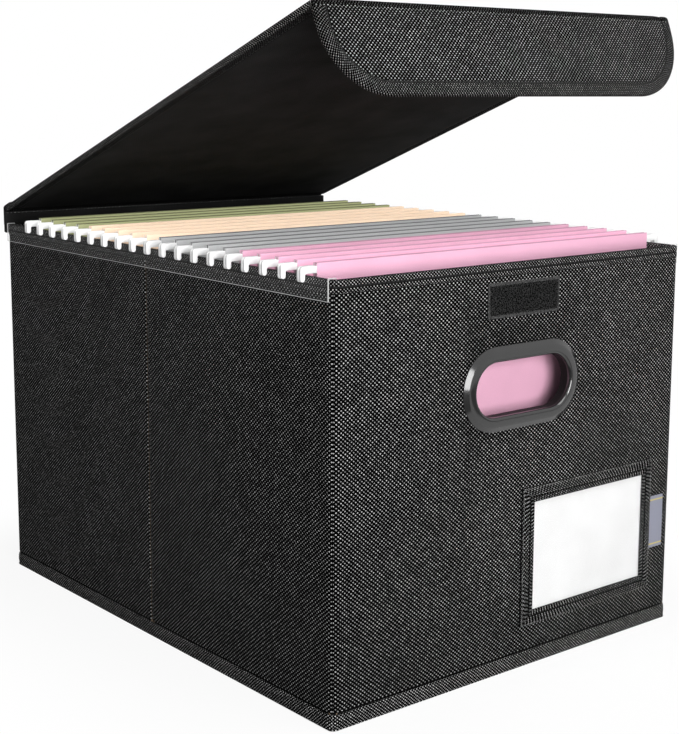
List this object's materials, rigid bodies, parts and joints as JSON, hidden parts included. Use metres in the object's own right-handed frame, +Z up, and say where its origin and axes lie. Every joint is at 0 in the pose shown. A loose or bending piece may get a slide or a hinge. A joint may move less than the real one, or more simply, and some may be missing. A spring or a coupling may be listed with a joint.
{
  "type": "portable file box",
  "caption": "Fold-flat cloth-covered file box with a hinged flap lid, oval grip holes, clear side rails and coloured hanging file folders.",
  "frame": {"origin": "middle of the underside of the base, on the surface that the box stands on", "axes": "+Z up, +X to the right along the front, +Y from the front (grip, label and lid flap) to the rear, where the lid is hinged"},
  "size_m": [0.323, 0.4177, 0.4347],
  "materials": {
    "outer_cloth": "coarse black linen-look weave",
    "binding_cloth": "fine black twill, folded and stitched",
    "lining_cloth": "smooth black non-woven",
    "stiff_board": "hardboard, hidden inside the cloth",
    "insert_board": "hardboard in smooth black non-woven",
    "clear_plastic": "clear, polished edges",
    "black_plastic": "glossy moulded",
    "loop_tape": "black loop pile",
    "hook_tape": "black hook tape",
    "card": "plain white card",
    "tag_cloth": "grey woven ribbon",
    "pink_paper": "matte pink file card, white plastic hooks",
    "grey_paper": "matte grey file card, white plastic hooks",
    "peach_paper": "matte peach file card, white plastic hooks",
    "olive_paper": "matte olive file card, white plastic hooks"
  },
  "bodies": {
    "box": {"base_cover": "outer_cloth", "base_binding": "binding_cloth", "wall_cover": "outer_cloth", "wall_lining": "lining_cloth", "rim_hem": "outer_cloth", "front_board": "stiff_board", "rear_board": "stiff_board", "left_front_board": "stiff_board", "left_rear_board": "stiff_board", "right_front_board": "stiff_board", "right_rear_board": "stiff_board", "left_rail": "clear_plastic", "right_rail": "clear_plastic", "front_grip_outer": "black_plastic", "front_grip_inner": "black_plastic", "rear_grip_outer": "black_plastic", "rear_grip_inner": "black_plastic", "loop_strip": "loop_tape", "label_pocket": "outer_cloth", "label_window": "clear_plastic", "side_tag": "tag_cloth", "hinge_strip": "outer_cloth"},
    "lid": {"lid_cover": "outer_cloth", "lid_board": "stiff_board", "lid_binding": "binding_cloth", "lid_lining": "lining_cloth"},
    "flap": {"flap_cover": "outer_cloth", "flap_board": "stiff_board", "flap_binding": "binding_cloth", "flap_lining": "lining_cloth", "hook_strip": "hook_tape"},
    "insert": {"base_insert": "insert_board"},
    "card": {"label_card": "card"},
    "folder_01_body": {"folder_01": "pink_paper"},
    "folder_02_body": {"folder_02": "pink_paper"},
    "folder_03_body": {"folder_03": "pink_paper"},
    "folder_04_body": {"folder_04": "pink_paper"},
    "folder_05_body": {"folder_05": "pink_paper"},
    "folder_06_body": {"folder_06": "grey_paper"},
    "folder_07_body": {"folder_07": "grey_paper"},
    "folder_08_body": {"folder_08": "grey_paper"},
    "folder_09_body": {"folder_09": "grey_paper"},
    "folder_10_body": {"folder_10": "grey_paper"},
    "folder_11_body": {"folder_11": "peach_paper"},
    "folder_12_body": {"folder_12": "peach_paper"},
    "folder_13_body": {"folder_13": "peach_paper"},
    "folder_14_body": {"folder_14": "peach_paper"},
    "folder_15_body": {"folder_15": "peach_paper"},
    "folder_16_body": {"folder_16": "olive_paper"},
    "folder_17_body": {"folder_17": "olive_paper"},
    "folder_18_body": {"folder_18": "olive_paper"},
    "folder_19_body": {"folder_19": "olive_paper"}
  },
  "joints": [
    {"name": "lid_hinge", "type": "hinge", "parent": "box", "child": "lid", "pos_m": [0, 0.209, 0.28805], "axis": [-1, 0, 0], "range_deg": [-20.35, 194.65]},
    {"name": "flap_hinge", "type": "hinge", "parent": "lid", "child": "flap", "pos_m": [0, -0.18638, 0.4347], "axis": [-1, 0, 0], "range_deg": [0, 90]},
    {"name": "insert_lift", "type": "slide", "parent": "box", "child": "insert", "axis": [0, 0, 1], "range_m": [0, 0.035]},
    {"name": "card_slide", "type": "slide", "parent": "box", "child": "card", "axis": [0, 0, 1], "range_m": [0, 0.04]},
    {"name": "folder_01_slide", "type": "slide", "parent": "box", "child": "folder_01_body", "axis": [0, 1, 0], "range_m": [-0.0176, 0.00715]},
    {"name": "folder_02_slide", "type": "slide", "parent": "box", "child": "folder_02_body", "axis": [0, 1, 0], "range_m": [-0.00715, 0.00715]},
    {"name": "folder_03_slide", "type": "slide", "parent": "box", "child": "folder_03_body", "axis": [0, 1, 0], "range_m": [-0.00715, 0.00715]},
    {"name": "folder_04_slide", "type": "slide", "parent": "box", "child": "folder_04_body", "axis": [0, 1, 0], "range_m": [-0.00715, 0.00715]},
    {"name": "folder_05_slide", "type": "slide", "parent": "box", "child": "folder_05_body", "axis": [0, 1, 0], "range_m": [-0.00715, 0.00715]},
    {"name": "folder_06_slide", "type": "slide", "parent": "box", "child": "folder_06_body", "axis": [0, 1, 0], "range_m": [-0.00715, 0.00715]},
    {"name": "folder_07_slide", "type": "slide", "parent": "box", "child": "folder_07_body", "axis": [0, 1, 0], "range_m": [-0.00715, 0.00715]},
    {"name": "folder_08_slide", "type": "slide", "parent": "box", "child": "folder_08_body", "axis": [0, 1, 0], "range_m": [-0.00715, 0.00715]},
    {"name": "folder_09_slide", "type": "slide", "parent": "box", "child": "folder_09_body", "axis": [0, 1, 0], "range_m": [-0.00715, 0.00715]},
    {"name": "folder_10_slide", "type": "slide", "parent": "box", "child": "folder_10_body", "axis": [0, 1, 0], "range_m": [-0.00715, 0.00715]},
    {"name": "folder_11_slide", "type": "slide", "parent": "box", "child": "folder_11_body", "axis": [0, 1, 0], "range_m": [-0.00715, 0.00715]},
    {"name": "folder_12_slide", "type": "slide", "parent": "box", "child": "folder_12_body", "axis": [0, 1, 0], "range_m": [-0.00715, 0.00715]},
    {"name": "folder_13_slide", "type": "slide", "parent": "box", "child": "folder_13_body", "axis": [0, 1, 0], "range_m": [-0.00715, 0.00715]},
    {"name": "folder_14_slide", "type": "slide", "parent": "box", "child": "folder_14_body", "axis": [0, 1, 0], "range_m": [-0.00715, 0.00715]},
    {"name": "folder_15_slide", "type": "slide", "parent": "box", "child": "folder_15_body", "axis": [0, 1, 0], "range_m": [-0.00715, 0.00715]},
    {"name": "folder_16_slide", "type": "slide", "parent": "box", "child": "folder_16_body", "axis": [0, 1, 0], "range_m": [-0.00715, 0.00715]},
    {"name": "folder_17_slide", "type": "slide", "parent": "box", "child": "folder_17_body", "axis": [0, 1, 0], "range_m": [-0.00715, 0.00715]},
    {"name": "folder_18_slide", "type": "slide", "parent": "box", "child": "folder_18_body", "axis": [0, 1, 0], "range_m": [-0.00715, 0.00715]},
    {"name": "folder_19_slide", "type": "slide", "parent": "box", "child": "folder_19_body", "axis": [0, 1, 0], "range_m": [-0.00715, 0.0336]}
  ]
}
